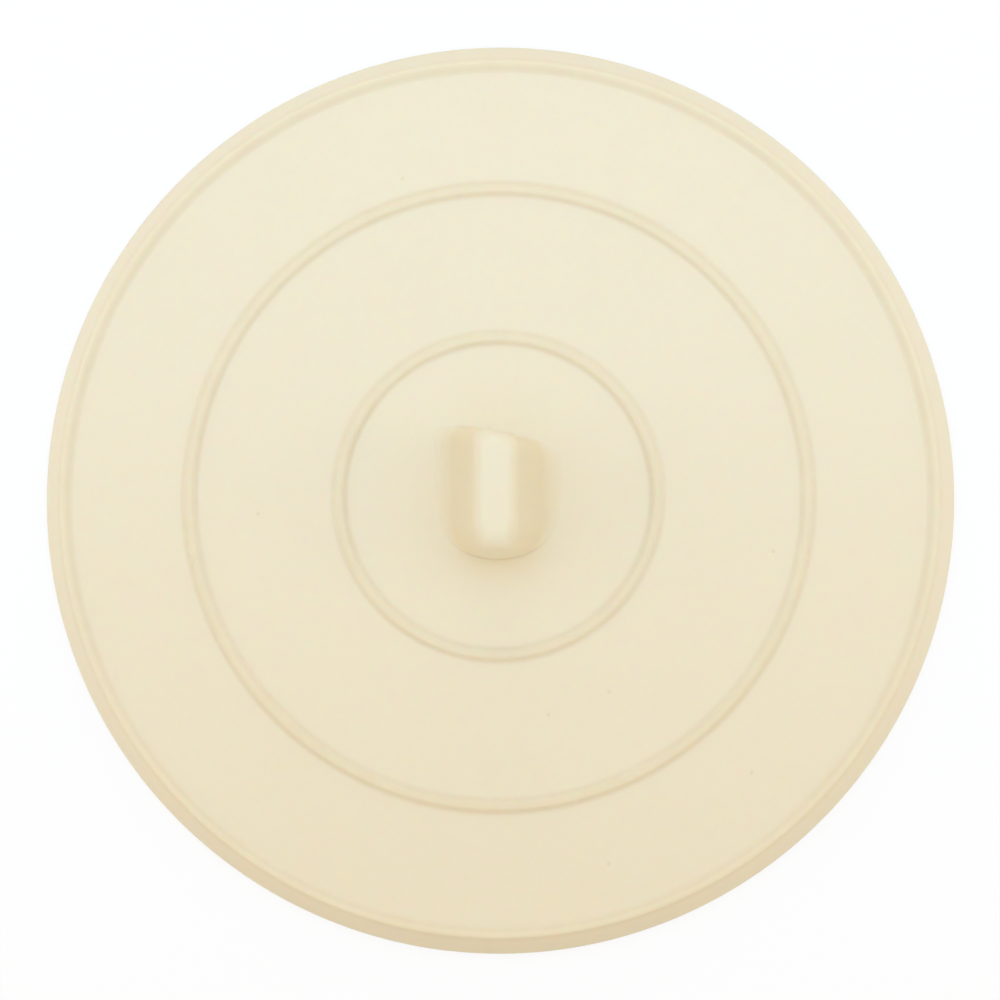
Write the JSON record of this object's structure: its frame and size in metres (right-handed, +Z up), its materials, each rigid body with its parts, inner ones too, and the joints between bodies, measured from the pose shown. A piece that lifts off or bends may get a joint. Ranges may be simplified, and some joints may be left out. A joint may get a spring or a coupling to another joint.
{
  "type": "drain stopper",
  "caption": "Flat round rubber drain stopper with raised ring beads, a raised bevelled rim and a moulded finger tab in the middle.",
  "frame": {"origin": "centre of the flat underside, which rests on the sink floor", "axes": "+Z up through the finger tab, +Y along the tab's length, +X across the tab"},
  "size_m": [0.127, 0.127, 0.0147],
  "materials": {
    "cream_rubber": "matte moulded rubber"
  },
  "bodies": {
    "stopper": {"sealing_disc": "cream_rubber", "tab_neck": "cream_rubber"},
    "tab": {"finger_tab": "cream_rubber"}
  },
  "joints": [
    {"name": "tab_lean", "type": "hinge", "parent": "stopper", "child": "tab", "pos_m": [0, 0, 0.00776], "axis": [0, 1, 0], "range_deg": [-15, 15], "stiffness_Nm_per_rad": 0.4, "deforming": ["tab_neck"]}
  ]
}
